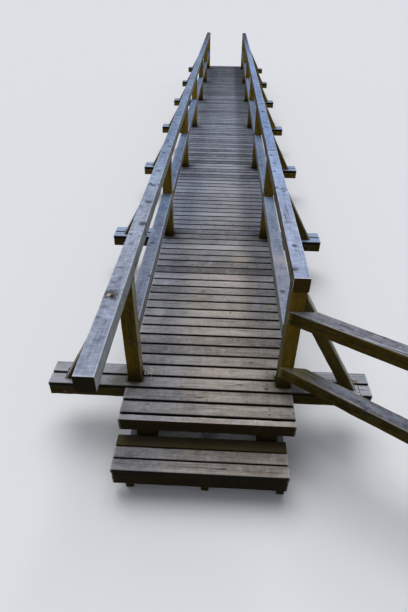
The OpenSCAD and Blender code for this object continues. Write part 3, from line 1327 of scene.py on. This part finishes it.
def model_bolt():
    """Hexagon head on a round washer, facing -Y."""
    washer = new_disc(20, WASHER_RADIUS, WASHER_THICKNESS)
    bpy.ops.mesh.bevel(offset=WASHER_THICKNESS * WASHER_EDGE)
    set_mode("OBJECT")
    above_washer = (WASHER_THICKNESS + BOLT_HEAD_HEIGHT) / 2
    head = new_disc(6, BOLT_HEAD_RADIUS, BOLT_HEAD_HEIGHT, above_washer)
    bpy.ops.mesh.bevel(offset=BOLT_HEAD_HEIGHT * BOLT_HEAD_EDGE, segments=2)
    set_mode("OBJECT")
    bolt = join_pieces([washer, head], "bolt")
    bolt.data.transform(Matrix.Translation((0, 0, WASHER_THICKNESS / 2)))
    bolt.data.transform(rotation(90, "X"))
    return bolt


def brace_middle(solid, height):
    """Where the middle line of a raking brace is across the bridge, at one height."""
    matrix, _, _ = timber_frame(solid)
    centre = matrix.to_translation()
    grain = matrix.to_3x3().col[0]
    return centre.x + grain.x * (height - centre.z) / grain.z


def bolt_frame(bolt, number):
    """Bolts through the transoms, a post and a brace on each side."""
    near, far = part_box(f"transoms_{number}")
    height = (near.z + far.z) / 2
    spots = [middle_of(solid).x for solid in solids_of(f"posts_{number}")]
    spots += [brace_middle(solid, height) for solid in solids_of(f"braces_{number}")]
    heads = []
    for x in spots:
        for y, turn in ((near.y, 0), (far.y, 180)):
            place = Matrix.Translation((x, y, height))
            heads.append(own_copy(bolt, place @ rotation(turn, "Z")))
    wear_finish(join_pieces(heads, f"frame_bolts_{number}"), "bolts")


# Floor, light and camera


def lay_floor():
    """A pale floor that the camera sees, which throws less light back at the bridge."""
    clear_selection()
    bpy.ops.mesh.primitive_plane_add(size=FLOOR_SIZE, location=FLOOR_MIDDLE)
    floor = just_added()
    floor.name = "floor"
    material = bpy.data.materials.new("pale_floor")
    material.use_nodes = True
    plain = Nodes(material.node_tree)
    path = plain.node("LightPath").outputs
    seen = plain.math("MAXIMUM", path["Is Camera Ray"], path["Is Glossy Ray"])
    kept = plain.node("BsdfDiffuse", {"Color": paint(*LIT_FLOOR)}).outputs[0]
    shown = plain.node("BsdfDiffuse", {"Color": paint(*SEEN_FLOOR)}).outputs[0]
    both = plain.node("MixShader", {0: seen, 1: kept, 2: shown}).outputs[0]
    plain.feed(plain.tree.nodes["Material Output"].inputs["Surface"], both)
    plain.tree.nodes.remove(plain.tree.nodes["Principled BSDF"])
    floor.data.materials.append(material)


def light_bridge():
    """Soft light from high above the far side, and a faint even one all round."""
    world = bpy.data.worlds.new("studio")
    bpy.context.scene.world = world
    world.use_nodes = True
    sky = Nodes(world.node_tree)
    even = sky.tree.nodes["Background"]
    sky.feed(even.inputs["Color"], paint(*EVEN_LIGHT))
    sky.feed(even.inputs["Strength"], EVEN_STRENGTH)
    seen = sky.node("Background", {"Color": paint(*SEEN_BACKGROUND)})
    camera_ray = sky.node("LightPath").outputs["Is Camera Ray"]
    both = sky.node("MixShader", {0: camera_ray, 1: even.outputs[0], 2: seen.outputs[0]})
    sky.feed(sky.tree.nodes["World Output"].inputs["Surface"], both.outputs[0])
    lamp = bpy.data.lights.new("overhead", "SUN")
    lamp.energy = SUN_STRENGTH
    lamp.angle = math.radians(SUN_SPREAD)
    overhead = put_in_scene(bpy.data.objects.new("overhead", lamp))
    overhead.rotation_euler = Vector(SUN_DIRECTION).to_track_quat("Z", "Y").to_euler()


def place_camera():
    """The camera of the photograph, as a pinhole fitted to the bridge."""
    turn = rotation(-CAMERA_YAW, "Z") @ rotation(90 + CAMERA_PITCH, "X")
    turn = turn @ rotation(CAMERA_ROLL, "Z")
    data = bpy.data.cameras.new("camera")
    data.sensor_fit = "VERTICAL"
    data.sensor_height = SENSOR_MM
    data.lens = FOCAL_LENGTH_PX / PHOTO_HEIGHT_PX * SENSOR_MM
    data.clip_end = SIGHT_END
    camera = put_in_scene(bpy.data.objects.new("camera", data))
    camera.matrix_world = Matrix.Translation(CAMERA_PLACE) @ turn
    bpy.context.scene.camera = camera


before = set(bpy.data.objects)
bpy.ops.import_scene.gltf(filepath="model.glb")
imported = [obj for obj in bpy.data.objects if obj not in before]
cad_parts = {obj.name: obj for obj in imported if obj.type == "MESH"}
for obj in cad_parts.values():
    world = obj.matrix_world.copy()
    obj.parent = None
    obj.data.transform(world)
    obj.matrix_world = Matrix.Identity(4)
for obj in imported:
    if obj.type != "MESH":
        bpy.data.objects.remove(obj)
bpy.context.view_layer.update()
bpy.context.scene.view_settings.view_transform = "Standard"
place_camera()
light_bridge()
lay_floor()

bays = sum(name.startswith("deck_bay_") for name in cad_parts)
frame_numbers = range(1, bays + 2)
deck_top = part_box("deck_bay_1")[1].z
deck_nodes = ["deck_end_near", *[f"deck_bay_{n}" for n in range(1, bays + 1)], "deck_end_far"]
finishes = {
    **{finish: weathered_timber(*parts) for finish, parts in TIMBER_FINISHES.items()},
    **{finish: dull_steel(*parts) for finish, parts in STEEL_FINISHES.items()},
}
clouds = {
    "broad": cloud("broad_waves", 0.45),
    "fine": cloud("fine_waves", 0.06, depth=3),
    "chips": cloud("edge_chips", 0.035, contrast=2.0),
}

for side in ("left", "right"):
    rails = f"{side}_mid_rails"
    dress_main_beam(side)
    dress(f"handrail_{side}", f"{side}_handrail", "rail_timber", look=f"{side}_handrail")
    dress(f"midrail_{side}", rails, "rail_timber", wear=MID_RAIL_WEAR, look=rails)
for end in ("near", "far"):
    dress(f"sill_{end}", f"{end}_sill", "beam_timber")
    dress(f"trimmer_{end}", f"{end}_trimmer", "frame_timber", look="trimmer")
for number in frame_numbers:
    posts = f"posts_{number}"
    braces = f"braces_{number}"
    tones = FIRST_POST_TONES if number == 1 else None
    dress(f"transoms_{number}", f"transom_pair_{number}", "frame_timber")
    dress(posts, f"post_pair_{number}", "frame_timber", look="posts", tones=tones)
    dress(braces, f"brace_pair_{number}", "frame_timber", BRACE_SHAPE, look="braces")
dress_deck("deck_end_near", "near_deck_boards")
for number in range(1, bays + 1):
    dress_deck(f"deck_bay_{number}", f"deck_boards_{number}", number)
dress_deck("deck_end_far", "far_deck_boards", bays + 1)
dress("step_treads", "step_boards", "deck_board", BOARD_SHAPE, BOARD_WEAR, "treads", TREAD_TONES)
dress("step_riser", "riser_board", "frame_timber", BOARD_SHAPE, look="trimmer")
dress("step_bearers", "step_bearer_set", "beam_timber", BOARD_SHAPE)
dress("wing_rail_top", "top_wing_rail", "rail_timber", look="wing")
dress("wing_rail_mid", "mid_wing_rail", "rail_timber", look="wing_mid")
dress("wing_post", "wing_end_post", "frame_timber")

nail_boards()
bolt = model_bolt()
for number in frame_numbers:
    bolt_frame(bolt, number)
bpy.data.objects.remove(bolt)
for master in masters.values():
    bpy.data.objects.remove(master)
